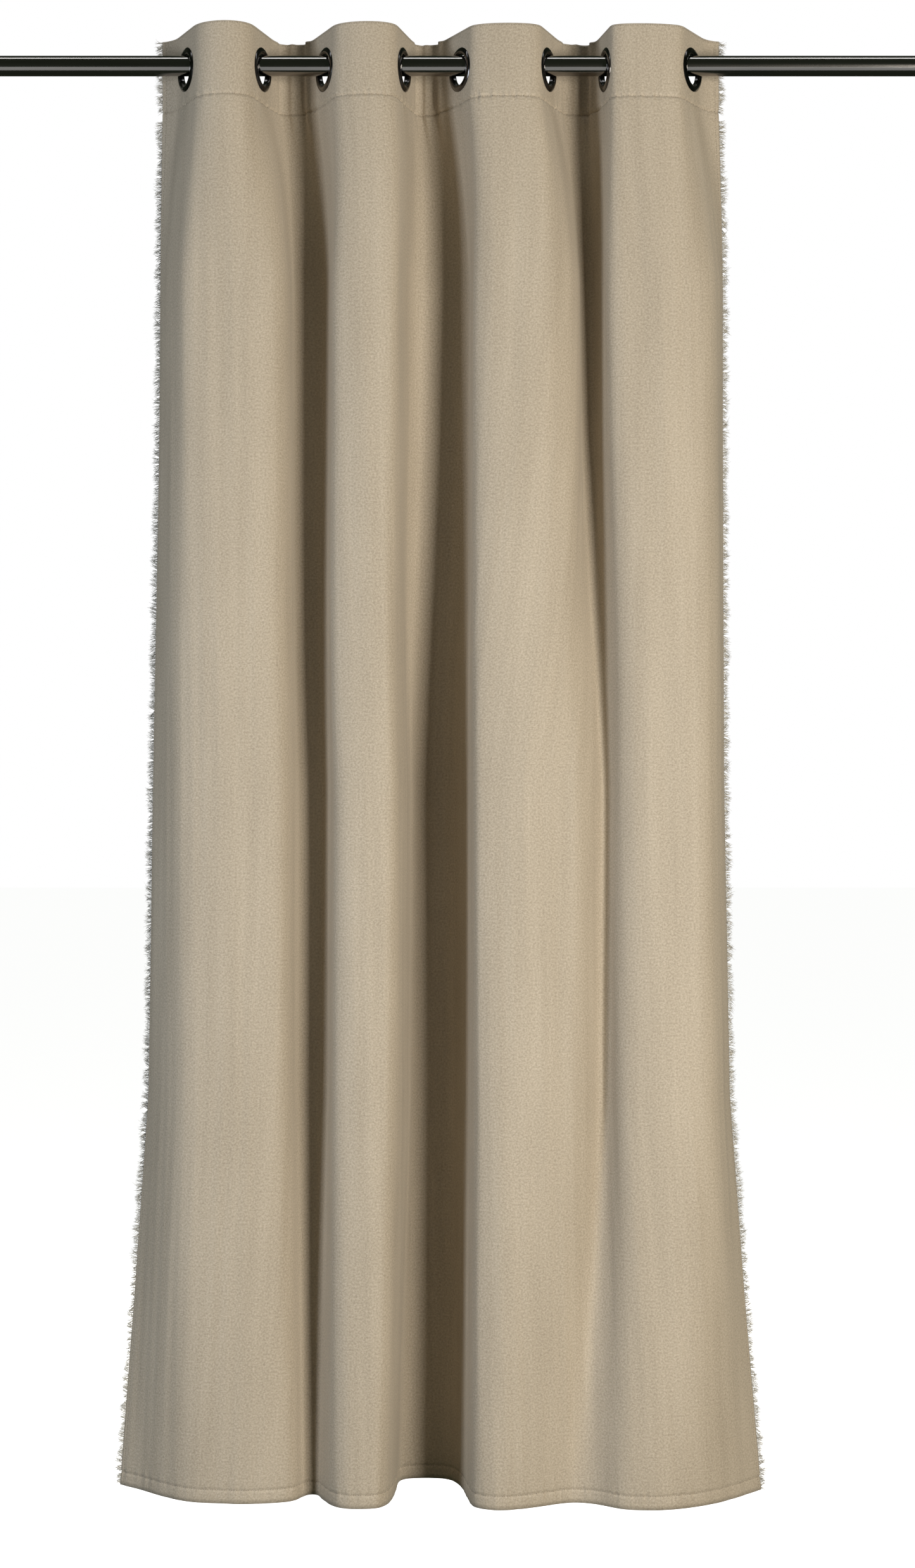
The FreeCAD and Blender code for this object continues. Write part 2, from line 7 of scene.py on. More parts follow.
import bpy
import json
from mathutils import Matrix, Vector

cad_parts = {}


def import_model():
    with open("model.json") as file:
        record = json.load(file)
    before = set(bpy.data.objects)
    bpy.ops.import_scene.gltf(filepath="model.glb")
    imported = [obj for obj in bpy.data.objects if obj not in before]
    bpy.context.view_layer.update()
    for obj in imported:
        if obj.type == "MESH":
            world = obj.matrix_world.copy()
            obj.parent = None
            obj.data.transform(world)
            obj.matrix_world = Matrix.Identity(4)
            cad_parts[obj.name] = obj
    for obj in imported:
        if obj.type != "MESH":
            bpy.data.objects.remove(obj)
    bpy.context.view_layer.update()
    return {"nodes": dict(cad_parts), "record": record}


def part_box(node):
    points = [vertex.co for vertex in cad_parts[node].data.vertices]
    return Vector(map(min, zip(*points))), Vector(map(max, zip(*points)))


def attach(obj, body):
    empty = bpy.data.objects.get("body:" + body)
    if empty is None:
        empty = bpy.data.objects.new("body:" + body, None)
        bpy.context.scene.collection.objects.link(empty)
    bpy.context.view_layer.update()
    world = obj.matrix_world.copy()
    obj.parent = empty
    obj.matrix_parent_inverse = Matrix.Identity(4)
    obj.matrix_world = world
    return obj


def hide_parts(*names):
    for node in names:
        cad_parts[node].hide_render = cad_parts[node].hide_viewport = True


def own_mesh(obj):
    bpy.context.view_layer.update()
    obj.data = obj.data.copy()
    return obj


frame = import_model()

import json
import math

import bpy
import numpy as np
from mathutils import Vector

MM = 0.001
NODES = frame["nodes"]

# ---- places that the frame gives ---------------------------------------------

ROD_LOW, ROD_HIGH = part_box("rod_tube")
ROD_Y = (ROD_LOW.y + ROD_HIGH.y) / 2
PANEL_LOW, PANEL_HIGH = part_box("curtain_panel")
TOP_Z, HEM_Z, SEAM_Z = PANEL_HIGH.z, PANEL_LOW.z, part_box("heading_facing")[0].z
BARREL_BACK = 4 * MM
EYELETS = range(1, 9)

# ---- the cloth's own sizes -----------------------------------------------------

CLOTH_WIDTH = 1380 * MM
CLOTH_LENGTH = TOP_Z - HEM_Z
PITCH = 177 * MM
FIRST_EYELET = (CLOTH_WIDTH - 7 * PITCH) / 2
FLAT_REACH = 33.4 * MM
END_TURN = 48
HEM_DEPTH = 20 * MM
SIDE_HEM = 7 * MM

# each layer of the cloth, as its back's and its front's distance from the line
FACE = (0.4 * MM, 1.8 * MM)
LINING = (-1.8 * MM, 0.3 * MM)
HEM_LAYER = (-1.1 * MM, 0.3 * MM)

# a square of the grid becomes each eyelet's hole, and the grid is moved only inside a larger square;
# both are given from their middle to a side
HOLE_RADIUS = 25 * MM
HOLE_SQUARE = 21 * MM
HOLE_AREA = 32 * MM

# steps along the cloth and down it, and how many times the lines are smoothed from height to height
COLUMNS = 460
LINE_ROWS = 550
HEADING_ROWS = 36
BODY_ROWS = 280
SMOOTHING = 20

# The cloth's line from above, left to right, as corners (mm along the rod, mm of depth), at three
# heights. Each has the same twelve stretches, which end at the same places of the cloth: where each of
# the four fronts begins and ends, and the bottoms of the three valleys between them.
UPPER_LINE = (
    ((-449, 50), (-440, 22), (-426, -12), (-404, -42)), ((-370, -52), (-330, -54), (-292, -50)),
    ((-266, -36), (-254, -6), (-250, 30), (-240, 50)), ((-206, 52), (-192, 30), (-187, -14), (-185, -48)),
    ((-164, -62), (-124, -70), (-90, -60)), ((-82, -20), (-76, 24), (-62, 44), (-22, 56)),
    ((6, 50), (20, 26), (25, -16), (24, -50)), ((44, -66), (86, -74), (126, -70), (150, -58)),
    ((170, -40), (180, -6), (184, 24), (194, 38)), ((208, 36), (216, 10), (222, -16), (225, -48)),
    ((250, -62), (306, -66), (350, -58)), ((378, -36), (392, 0), (399, 40)),
)
MIDDLE_LINE = (
    ((-460, 54), (-450, 28), (-434, -4), (-406, -34)), ((-370, -46), (-326, -50), (-284, -46)),
    ((-258, -32), (-248, -4), (-244, 26), (-234, 44)), ((-206, 48), (-192, 28), (-186, -14), (-184, -46)),
    ((-164, -60), (-124, -68), (-92, -60)), ((-80, 0), (-74, 72), (-63, 118), (-36, 130)),
    ((-6, 122), (10, 84), (22, 10), (25, -54)), ((44, -64), (86, -74), (126, -70), (154, -62)),
    ((182, -50), (204, -24), (216, 0)), ((228, -4), (243, -42)),
    ((274, -60), (326, -62), (366, -52)), ((388, -28), (398, 4), (401, 36)),
)
HEM_LINE = (
    ((-514, 96), (-466, 40), (-430, -4), (-402, -26)), ((-364, -38), (-316, -42), (-272, -36)),
    ((-246, -22), (-234, 6), (-226, 22)), ((-210, 24), (-200, -16), (-186, -56)),
    ((-168, -72), (-134, -76), (-110, -66)), ((-98, 0), (-94, 84), (-87, 132), (-54, 144)),
    ((-12, 136), (5, 92), (17, 10), (20, -58)), ((40, -78), (68, -88), (110, -68), (134, -50)),
    ((152, -38), (174, -28)), ((204, -40), (242, -76)),
    ((270, -84), (304, -86), (350, -66)), ((400, -22), (460, 58)),
)
# heights at which the cloth's line is a mix of the heading's, the upper, the middle and the hem's
MIXES = (
    (SEAM_Z, (1.0, 0.0, 0.0, 0.0)), (-0.19, (0.45, 0.55, 0.0, 0.0)), (-0.32, (0.0, 1.0, 0.0, 0.0)),
    (-0.55, (0.0, 0.85, 0.15, 0.0)), (-0.80, (0.0, 0.5, 0.5, 0.0)), (-1.08, (0.0, 0.0, 1.0, 0.0)),
    (-1.55, (0.0, 0.0, 0.85, 0.15)), (-1.85, (0.0, 0.0, 0.45, 0.55)), (HEM_Z, (0.0, 0.0, 0.0, 1.0)),
)


# ---- the cloth's line ----------------------------------------------------------

def ring_frame(number):
    """An eyelet's centre (x, depth), the cloth's direction through it from left to right, and its height.

    A front ring is much thinner along its axis than across it. Its barrel ends a little
    behind the middle of the cloth."""
    points = np.array([v.co for v in NODES[f"eyelet_{number}_front"].data.vertices], float)
    axis = np.linalg.eigh(np.cov(points.T))[1][:, 0]
    axis *= -np.sign(axis[1])
    along = np.array([-axis[1], axis[0]])
    across, heights = points[:, :2] @ along, points @ axis
    middle = (across.min() + across.max()) / 2
    centre = along * middle + axis[:2] * (heights.min() + BARREL_BACK)
    return centre - np.array([0, ROD_Y]), along, (points[:, 2].min() + points[:, 2].max()) / 2


RINGS = {number: ring_frame(number) for number in EYELETS}

# the eyelets that have a back fold after them
BEFORE_BACK_FOLD = (2, 4, 6)


def creased(ways, count=4, strength=0.75):
    """Directions in which each back fold of the stiff heading bends at a few creases."""
    ways = ways.copy()
    for number in BEFORE_BACK_FOLD:
        start = FIRST_EYELET + (number - 1) * PITCH + FLAT_REACH
        free = PITCH - 2 * FLAT_REACH
        share = (BETWEEN - start) / free
        inside = (share > 0) & (share < 1)
        turn = np.gradient(ways, CLOTH_WIDTH / COLUMNS)
        wave = np.sin(2 * math.pi * count * share) / (2 * math.pi * count)
        ways[inside] -= (strength * turn * free * wave)[inside]
    return ways


def bezier(start, leave, arrive, end, reach, count=60):
    """A cubic from start to end that leaves and arrives along two directions."""
    t = np.linspace(0, 1, count)[:, None]
    a, b = start + leave * reach, end - arrive * reach
    return (1 - t) ** 3 * start + 3 * (1 - t) ** 2 * t * a + 3 * (1 - t) * t ** 2 * b + t ** 3 * end


def length_of(points):
    return float(np.linalg.norm(np.diff(points, axis=0), axis=1).sum())


def solve(low, high, too_short):
    """The number between low and high at which too_short(number) turns false."""
    for _ in range(40):
        middle = (low + high) / 2
        low, high = (middle, high) if too_short(middle) else (low, middle)
    return (low + high) / 2


def heading_fold(number):
    """The fold after an eyelet: as long as the cloth that lies between two flat flanks."""
    (first, leave, _), (second, arrive, _) = RINGS[number], RINGS[number + 1]
    start, end = first + leave * FLAT_REACH, second - arrive * FLAT_REACH
    free = PITCH - 2 * FLAT_REACH
    reach = solve(0, 0.3, lambda r: length_of(bezier(start, leave, arrive, end, r)) < free)
    return bezier(start, leave, arrive, end, reach)


def free_end(number, way):
    """The cloth outside the first or last eyelet, which turns to lie more along the rod."""
    centre, along, _ = RINGS[number]
    out = along * way
    steps = 24
    angle = math.atan2(out[1], out[0])
    turn = math.radians(END_TURN) * way * -1
    step = (FIRST_EYELET - FLAT_REACH) / steps
    points = [centre + out * FLAT_REACH]
    for index in range(steps):
        here = angle + turn * (index + 0.5) / steps
        points.append(points[-1] + step * np.array([math.cos(here), math.sin(here)]))
    return np.array(points)


def heading_line():
    parts = [free_end(1, -1)[::-1]]
    for number in range(1, 8):
        parts.append(heading_fold(number))
    parts.append(free_end(8, 1))
    return np.vstack(parts)


def rounded(corners, passes=4):
    """A line with every corner cut again and again, which ends as a smooth curve."""
    points = corners
    for _ in range(passes):
        near, far = points[:-1] * 0.75 + points[1:] * 0.25, points[:-1] * 0.25 + points[1:] * 0.75
        inner = np.stack([near, far], 1).reshape(-1, 2)
        points = np.vstack([points[:1], inner, points[-1:]])
    return points


def run_of(points):
    """The distance along a line to each of its points."""
    return np.concatenate([[0], np.cumsum(np.linalg.norm(np.diff(points, axis=0), axis=1))])


def fitted(stretches):
    """A line whose depth is scaled until it uses the whole width of the cloth.

    Returns it, and where each stretch but the last ends, measured along the cloth."""
    corners = np.array([corner for stretch in stretches for corner in stretch], float) * MM
    middle = np.array([0, corners[:, 1].mean()])

    def scaled(factor):
        return middle + (corners - middle) * np.array([1, factor])

    factor = solve(0.6, 1.8, lambda f: length_of(rounded(scaled(f))) < CLOTH_WIDTH)
    ends = np.cumsum([len(stretch) for stretch in stretches])[:-1] - 1
    run = run_of(scaled(factor))
    return rounded(scaled(factor)), run[ends] / run[-1] * CLOTH_WIDTH


def heading_marks():
    """Where the heading's fronts begin and end and its valleys lie, measured along the cloth."""
    marks = []
    for front in range(4):
        begin = FIRST_EYELET + 2 * front * PITCH
        marks += [begin + FLAT_REACH, begin + PITCH - FLAT_REACH, begin + 1.5 * PITCH]
    return np.array(marks[:-1])


S = np.linspace(0, CLOTH_WIDTH, COLUMNS + 1)
BETWEEN = (S[1:] + S[:-1]) / 2


def softened(values, passes):
    for _ in range(passes):
        inner = (values[:-2] + 2 * values[1:-1] + values[2:]) / 4
        values = np.concatenate([values[:1], inner, values[-1:]])
    return values


def level(line, marks, soften=1):
    """(directions at even steps along the cloth, first point, last point, marks) of a line."""
    run = run_of(line)
    at = S / CLOTH_WIDTH * run[-1]
    points = np.stack([np.interp(at, run, line[:, axis]) for axis in (0, 1)], 1)
    ways = np.diff(points, axis=0)
    ways = softened(np.unwrap(np.arctan2(ways[:, 1], ways[:, 0])), soften)
    return ways, points[0], points[-1], np.concatenate([[0], marks, [CLOTH_WIDTH]])


HEADING = level(heading_line(), heading_marks(), soften=3)
LEVELS = [(creased(HEADING[0]), *HEADING[1:])]
LEVELS += [level(*fitted(line)) for line in (UPPER_LINE, MIDDLE_LINE, HEM_LINE)]


def lines_at(z):
    """Points (rows, columns, 2) of the cloth's line at several heights.

    Directions are mixed and not places, so the cloth keeps its width at every height. They are mixed
    where the marks meet, so a fold's edge stays one edge all the way down."""
    heights = [height for height, _ in MIXES][::-1]
    step = CLOTH_WIDTH / COLUMNS
    rows = []
    for height in np.asarray(z, float):
        mix = [np.interp(height, heights, [shares[k] for _, shares in MIXES][::-1]) for k in range(4)]
        marks = sum(share * given[3] for share, given in zip(mix, LEVELS))
        ways = sum(
            share * np.interp(np.interp(BETWEEN, marks, given[3]), BETWEEN, given[0])
            for share, given in zip(mix, LEVELS)
        )
        first, last = (sum(share * given[k] for share, given in zip(mix, LEVELS)) for k in (1, 2))
        steps = np.stack([np.cos(ways), np.sin(ways)], -1) * step
        points = np.concatenate([np.zeros((1, 2)), np.cumsum(steps, 0)])
        points += first + (S / CLOTH_WIDTH)[:, None] * (last - first - points[-1])
        rows.append(points)
    return np.array(rows)


Z = np.linspace(TOP_Z, HEM_Z, LINE_ROWS + 1)
LINES = lines_at(np.minimum(Z, SEAM_Z))
for _ in range(SMOOTHING):
    below = Z[1:-1] < SEAM_Z
    LINES[1:-1][below] = ((LINES[:-2] + 2 * LINES[1:-1] + LINES[2:]) / 4)[below]
TANGENTS = np.gradient(LINES, axis=1)
TANGENTS /= np.linalg.norm(TANGENTS, axis=2, keepdims=True)


def waves(seed, count, across, down):
    """Random long waves over the cloth: (turns per metre across, down, phase, weight)."""
    rng = np.random.default_rng(seed)
    return np.stack([
        rng.uniform(*across, count), rng.uniform(*down, count),
        rng.uniform(0, 2 * math.pi, count), rng.uniform(0.5, 1, count),
    ], 1)


SOFT_WAVES = waves(11, 12, (3, 14), (-0.9, 0.9))
FINE_WAVES = waves(12, 14, (18, 55), (-1.6, 1.6))


def summed(waves_used, s, z):
    total = sum(w * np.sin(2 * math.pi * (a * s + b * z) + p) for a, b, p, w in waves_used)
    return total / math.sqrt(len(waves_used))


def smoothstep(low, high, x):
    t = np.clip((x - low) / (high - low), 0, 1)
    return t * t * (3 - 2 * t)


# soft waves, seams, puckers and creases: how deep, how wide, and where along the cloth
PUCKERS = waves(13, 8, (50, 120), (0, 0))
GATHERS = waves(14, 8, (22, 48), (0, 0))
SOFT_DEPTH, FINE_DEPTH = 1.5 * MM, 0.25 * MM
SOFT_FADE = 0.22
SEAM_DENT, HEM_DENT, SIDE_DENT = 2.4 * MM, 1.4 * MM, 0.3 * MM
SEAM_WIDTH, SIDE_WIDTH = 2.2 * MM, 2 * MM
GATHER_DEPTH, GATHER_LENGTH, GATHER_START = 3.4 * MM, 45 * MM, 6 * MM
VALLEY_WIDTH = 38 * MM
CREASE_DEPTH, CREASE_WIDTH = 4.5 * MM, 5.5 * MM
CREASE_FADE = (SEAM_Z - 0.07, SEAM_Z + 0.03)
BACK_FOLDS = (1.5, 3.5, 5.5)
BACK_CREASES = (-24 * MM, -3 * MM, 17 * MM, 29 * MM)
HEM_LINE_Z = HEM_Z + HEM_DEPTH


def bell(distance, width):
    return np.exp(-((distance / width) ** 2))


def inward(edge, distance):
    """The place at a distance from a side edge, on the cloth."""
    return edge + math.copysign(distance, 0.5 - edge)


def relief(s, z):
    """How far the cloth stands out of its smooth line: soft waves, seams and puckers."""
    free = smoothstep(SEAM_Z, SEAM_Z - SOFT_FADE, z)
    out = free * (SOFT_DEPTH * summed(SOFT_WAVES, s, z) + FINE_DEPTH * summed(FINE_WAVES, s, z))
    valley = sum(bell(s - FIRST_EYELET - k * PITCH, VALLEY_WIDTH) for k in BACK_FOLDS)
    creases = sum(
        (1 if index % 2 else -0.8) * bell(s - FIRST_EYELET - k * PITCH - at, CREASE_WIDTH)
        for k in BACK_FOLDS for index, at in enumerate(BACK_CREASES)
    )
    out = out + CREASE_DEPTH * creases * smoothstep(*CREASE_FADE, z)
    drop = np.maximum(SEAM_Z - z, 0)
    gathers = np.where(z < SEAM_Z, np.exp(-drop / GATHER_LENGTH) * smoothstep(0, GATHER_START, drop), 0)
    out = out + GATHER_DEPTH * valley * gathers * summed(GATHERS, s, z * 0)
    pucker = summed(PUCKERS, s, z * 0)
    for height, dent in ((SEAM_Z, SEAM_DENT), (HEM_LINE_Z, HEM_DENT)):
        near, wide = bell(z - height, SEAM_WIDTH), bell(z - height, 4 * SEAM_WIDTH)
        out = out - dent * near + 0.5 * dent * wide * pucker
    for edge in (0, CLOTH_WIDTH):
        out = out - SIDE_DENT * bell(s - inward(edge, SIDE_HEM), SIDE_WIDTH)
    return out


def place(s, z, out):
    """Points of the cloth at s and z, moved out towards the room by a distance."""
    s, z = np.broadcast_arrays(np.asarray(s, float), np.asarray(z, float))
    column = np.clip(s / CLOTH_WIDTH * COLUMNS, 0, COLUMNS)
    row = np.clip((TOP_Z - z) / CLOTH_LENGTH * LINE_ROWS, 0, LINE_ROWS)
    c, r = np.minimum(column.astype(int), COLUMNS - 1), np.minimum(row.astype(int), LINE_ROWS - 1)
    cf, rf = (column - c)[..., None], (row - r)[..., None]

    def looked_up(table):
        upper = table[r, c] * (1 - cf) + table[r, c + 1] * cf
        lower = table[r + 1, c] * (1 - cf) + table[r + 1, c + 1] * cf
        return upper * (1 - rf) + lower * rf

    point, way = looked_up(LINES), looked_up(TANGENTS)
    normal = np.stack([way[..., 1], -way[..., 0]], -1)
    normal /= np.linalg.norm(normal, axis=-1, keepdims=True)
    flat = point + normal * (out + relief(s, z))[..., None]
    return np.stack([flat[..., 0], flat[..., 1] + ROD_Y, z], -1)


# ---- meshes --------------------------------------------------------------------

def linked(name, points, faces, uv=None, smooth=True):
    mesh = bpy.data.meshes.new(name)
    mesh.from_pydata(np.asarray(points, float).reshape(-1, 3).tolist(), [], faces)
    if uv is not None:
        layer = mesh.uv_layers.new(name="cloth")
        corner = np.zeros(len(mesh.loops), np.int32)
        mesh.loops.foreach_get("vertex_index", corner)
        layer.data.foreach_set("uv", np.asarray(uv, np.float32)[corner].ravel())
    mesh.polygons.foreach_set("use_smooth", np.full(len(mesh.polygons), smooth))
    mesh.update()
    obj = bpy.data.objects.new(name, mesh)
    bpy.context.scene.collection.objects.link(obj)
    return obj


def warped(s, z):
    """Moves a grid's points near each eyelet so that a square of them becomes a round hole.

    Returns the moved points, and which of them lie strictly inside a square."""
    s, z, inside = s.copy(), z.copy(), np.zeros(s.shape, bool)
    for number in EYELETS:
        middle_s, middle_z = FIRST_EYELET + (number - 1) * PITCH, RINGS[number][2]
        a, b = s - middle_s, z - middle_z
        far = np.maximum(np.abs(a), np.abs(b))
        long = np.maximum(np.hypot(a, b), 1e-9)
        share = np.clip((far - HOLE_SQUARE) / (HOLE_AREA - HOLE_SQUARE), 0, 1)
        pull = far < HOLE_AREA
        new_a = a / long * HOLE_RADIUS * (1 - share) + a * share
        new_b = b / long * HOLE_RADIUS * (1 - share) + b * share
        s, z = np.where(pull, middle_s + new_a, s), np.where(pull, middle_z + new_b, z)
        inside |= far < HOLE_SQUARE - 1e-6
    return s, z, inside


def snapped(values, targets):
    """Moves the nearest of some even steps onto each target, so that an edge runs there."""
    values = values.copy()
    for target in targets:
        values[np.abs(values - target).argmin()] = target
    return values


def slab(name, s_steps, z_steps, layer, holes=False):
    """A closed layer of the cloth between two distances from its middle line."""
    s, z = np.meshgrid(s_steps, z_steps)
    inside = np.zeros(s.shape, bool)
    if holes:
        s, z, inside = warped(s, z)
    rows, columns = s.shape
    near, far = place(s, z, np.full(s.shape, layer[1])), place(s, z, np.full(s.shape, layer[0]))
    index = np.arange(rows * columns).reshape(rows, columns)
    quads = np.stack([index[:-1, :-1], index[1:, :-1], index[1:, 1:], index[:-1, 1:]], -1)
    gone = inside[:-1, :-1] | inside[1:, :-1] | inside[1:, 1:] | inside[:-1, 1:]
    quads = quads[~gone].reshape(-1, 4)
    edges = np.concatenate([quads[:, [k, (k + 1) % 4]] for k in range(4)])
    forward = {tuple(edge) for edge in edges.tolist()}
    rim = [(a, b) for a, b in forward if (b, a) not in forward]
    count = rows * columns
    faces = quads.tolist() + (quads[:, ::-1] + count).tolist()
    faces += [(b, a, a + count, b + count) for a, b in sorted(rim)]
    points = np.concatenate([near.reshape(-1, 3), far.reshape(-1, 3)])
    used = np.unique(np.array([v for face in faces for v in face]))
    renumbered = np.full(len(points), -1)
    renumbered[used] = np.arange(len(used))
    faces = [tuple(renumbered[list(face)].tolist()) for face in faces]
    uv = np.stack([s.ravel(), z.ravel()], 1)
    return linked(name, points[used], faces, np.concatenate([uv, uv])[used])


def even(low, high, step):
    return np.linspace(low, high, max(2, round(abs(high - low) / step) + 1))


def heading_columns():
    """Even columns, with one at each side of every eyelet's square."""
    edges = [FIRST_EYELET + k * PITCH + side * HOLE_SQUARE for k in range(8) for side in (-1, 1)]
    return snapped(S, edges)


def heading_rows():
    middle = RINGS[1][2]
    steps = np.linspace(TOP_Z, SEAM_Z, HEADING_ROWS + 1)
    return snapped(steps, (middle - HOLE_SQUARE, middle + HOLE_SQUARE))


# heights of the panel's rows, closer together at the seam and at the hem's stitch line
BODY_Z = np.linspace(SEAM_Z, HEM_Z, BODY_ROWS + 1)
ABOVE_SEAM = SEAM_Z + np.array([1, 2, 4]) * MM
NEAR_SEAM = SEAM_Z - np.array([1, 2, 3.5, 5, 10, 14]) * MM
NEAR_HEM = HEM_LINE_Z + np.array([5, 3, 1.5, 0, -1.5, -3]) * MM
LAYER_GAP = 0.2 * MM
HEM_STEP, SIDE_ROW, SIDE_COLUMN = 2.5 * MM, 6 * MM, 1.7 * MM


def cloth_panel():
    rows = np.concatenate([heading_rows(), ABOVE_SEAM, NEAR_SEAM, BODY_Z[3:], NEAR_HEM])
    return slab("curtain_cloth", heading_columns(), np.unique(rows)[::-1], FACE, holes=True)


def heading_lining():
    return slab("heading_lining", heading_columns(), heading_rows(), LINING, holes=True)


def bottom_hem():
    rows = even(HEM_LINE_Z, HEM_Z, HEM_STEP)
    return slab("bottom_hem_fold", S, rows, HEM_LAYER)


def side_hem(side, edge):
    inner = inward(edge, SIDE_HEM)
    rows = even(SEAM_Z - LAYER_GAP, HEM_LINE_Z + LAYER_GAP, SIDE_ROW)
    columns = even(min(edge, inner), max(edge, inner), SIDE_COLUMN)
    return slab(f"{side}_side_hem_fold", columns, rows, HEM_LAYER)


STITCH_PITCH, STITCH_LENGTH, STITCH_RADIUS = 3.6 * MM, 2.6 * MM, 0.28 * MM
STITCH_SIDES, STITCH_MARGIN, SIDE_MARGIN = 6, 4 * MM, 6 * MM
TOP_STITCH, SIDE_STITCH = 2.5 * MM, SIDE_HEM - 0.5 * MM

# rings of a stitch: (share of its length from its middle, share of its radius, lift in mm)
STITCH_RINGS = ((-0.5, 0.25, -0.35), (-0.25, 0.9, 0.05), (0.25, 0.9, 0.05), (0.5, 0.25, -0.35))


def stitches(name, s, z, out, along_cloth=True):
    """A row of short sewn threads, each a small spindle that sinks in at its ends."""
    points, faces, sides = [], [], STITCH_SIDES
    turn = 2 * math.pi * np.arange(sides) / sides
    for share, width, lift in STITCH_RINGS:
        offset = share * STITCH_LENGTH
        at_s, at_z = (s + offset, z) if along_cloth else (s, z + offset)
        base = place(at_s, at_z, out + lift * MM)
        up = place(at_s, at_z, out + (lift + 1) * MM) - base
        up /= np.linalg.norm(up, axis=-1, keepdims=True)
        side = place(at_s, at_z + 1 * MM, out + lift * MM) - base
        if not along_cloth:
            side = place(at_s + 1 * MM, at_z, out + lift * MM) - base
        side /= np.linalg.norm(side, axis=-1, keepdims=True)
        ring = base[:, None] + STITCH_RADIUS * width * (
            np.cos(turn)[None, :, None] * side[:, None] + np.sin(turn)[None, :, None] * up[:, None]
        )
        points.append(ring)
    points = np.stack(points, 1)
    count, rings = points.shape[:2]
    for item in range(count):
        base = item * rings * sides
        for ring in range(rings - 1):
            for k in range(sides):
                a, b = base + ring * sides + k, base + ring * sides + (k + 1) % sides
                faces.append((a, b, b + sides, a + sides))
        faces.append(tuple(base + k for k in range(sides))[::-1])
        faces.append(tuple(base + (rings - 1) * sides + k for k in range(sides)))
    return linked(name, points.reshape(-1, 3), faces)


def stitched_row(name, z):
    s = even(STITCH_MARGIN, CLOTH_WIDTH - STITCH_MARGIN, STITCH_PITCH)
    return stitches(name, s, np.full(len(s), z), FACE[1])


def stitched_side(name, edge):
    inner = inward(edge, SIDE_STITCH)
    z = even(TOP_Z - SIDE_MARGIN, HEM_Z + SIDE_MARGIN, STITCH_PITCH)
    return stitches(name, np.full(len(z), inner), z, FACE[1], along_cloth=False)


FRINGE_STEP, STRANDS_PER_STEP, STEP_JITTER = 0.9 * MM, 2, 0.6
FRINGE_BOTTOM, FRINGE_TOP = HEM_Z + 2 * MM, TOP_Z - 1 * MM
STRAND_RADIUS, STRAND_SIDES = 0.36 * MM, 3
SIDEWAYS = 2.2

# the fringe has a short gap just below the heading's seam
GAP = (SEAM_Z - 1 * MM, SEAM_Z - 14 * MM)

# a strand's length, and the shares of it that it always has, gains in a thick clump and may stray by
FRINGE_LENGTH = 12.5 * MM
SHORTEST, CLUMPED, STRAY = 0.55, 0.3, 0.18
CLUMP, CLUMP_DRIFT, DRIFT = 9 * MM, 41 * MM, 2.5

# strands of one tuft droop alike; each bend is a share of the strand's length
TUFT = 4.5 * MM
TUFT_DROOP, STRAND_DROOP, FAN, CURL = (-0.1, 0.4), 0.14, 0.22, 0.25

# rings of a strand: (share of its length from the cloth's edge, share of its radius)
STRAND_RINGS = ((-0.12, 1.0), (0.3, 0.95), (0.65, 0.75), (1.0, 0.3))
UP = np.array([0, 0, 1.0])


def outward(edge, z, base):
    """Level directions in which strands leave an edge: on from the cloth, and turned along the rod."""
    inner = place(np.full(len(z), inward(edge, 2 * MM)), z, np.full(len(z), sum(FACE) / 2))
    out = base - inner
    out[:, 2] = 0
    out /= np.linalg.norm(out, axis=1, keepdims=True)
    out[:, 0] += SIDEWAYS * (-1 if edge == 0 else 1)
    return out / np.linalg.norm(out, axis=1, keepdims=True)


def fringe(side, edge):
    """Frayed threads along a side edge, in tufts: each a thin, tapered and bent strand."""
    rng = np.random.default_rng(21 if edge == 0 else 22)
    z = np.arange(FRINGE_BOTTOM, FRINGE_TOP, FRINGE_STEP)
    z = z[(z > GAP[0]) | (z < GAP[1])]
    count = STRANDS_PER_STEP * len(z)
    z = np.repeat(z, STRANDS_PER_STEP) + rng.uniform(-STEP_JITTER, STEP_JITTER, count) * MM
    clump = 0.5 + 0.5 * np.sin(z / CLUMP + DRIFT * np.sin(z / CLUMP_DRIFT))
    long = FRINGE_LENGTH * (SHORTEST + CLUMPED * clump + rng.uniform(-STRAY, STRAY, count))
    base = place(np.full(count, edge), z, rng.uniform(*FACE, count))
    out = outward(edge, z, base)
    front = np.cross(out, UP)
    tuft = ((z - HEM_Z) / TUFT).astype(int)
    droop = rng.normal(*TUFT_DROOP, tuft.max() + 1)[tuft] + rng.normal(0, STRAND_DROOP, count)
    fan = rng.normal(0, FAN, count)
    curl = rng.normal(0, CURL, count)
    sides, rings = STRAND_SIDES, len(STRAND_RINGS)
    turn = 2 * math.pi * np.arange(sides) / sides
    points = []
    for share, width in STRAND_RINGS:
        along = out * share + front * (fan * share)[:, None]
        along[:, 2] += droop * share + curl * share ** 2
        middle = base + along * long[:, None]
        across = np.cos(turn)[None, :, None] * front[:, None] + np.sin(turn)[None, :, None] * UP
        points.append(middle[:, None] + STRAND_RADIUS * width * across)
    points = np.stack(points, 1)
    start = (np.arange(count) * rings * sides)[:, None, None]
    ring_of, k = np.meshgrid(np.arange(rings - 1), np.arange(sides), indexing="ij")
    a = start + ring_of * sides + k
    b = start + ring_of * sides + (k + 1) % sides
    quads = np.stack([a, b, b + sides, a + sides], -1).reshape(-1, 4).tolist()
    tips = (start[:, 0] + (rings - 1) * sides + np.arange(sides)).tolist()
    roots = (start[:, 0] + np.arange(sides)[::-1]).tolist()
    return linked(f"{side}_frayed_fringe", points.reshape(-1, 3), quads + tips + roots)


# ---- materials -----------------------------------------------------------------

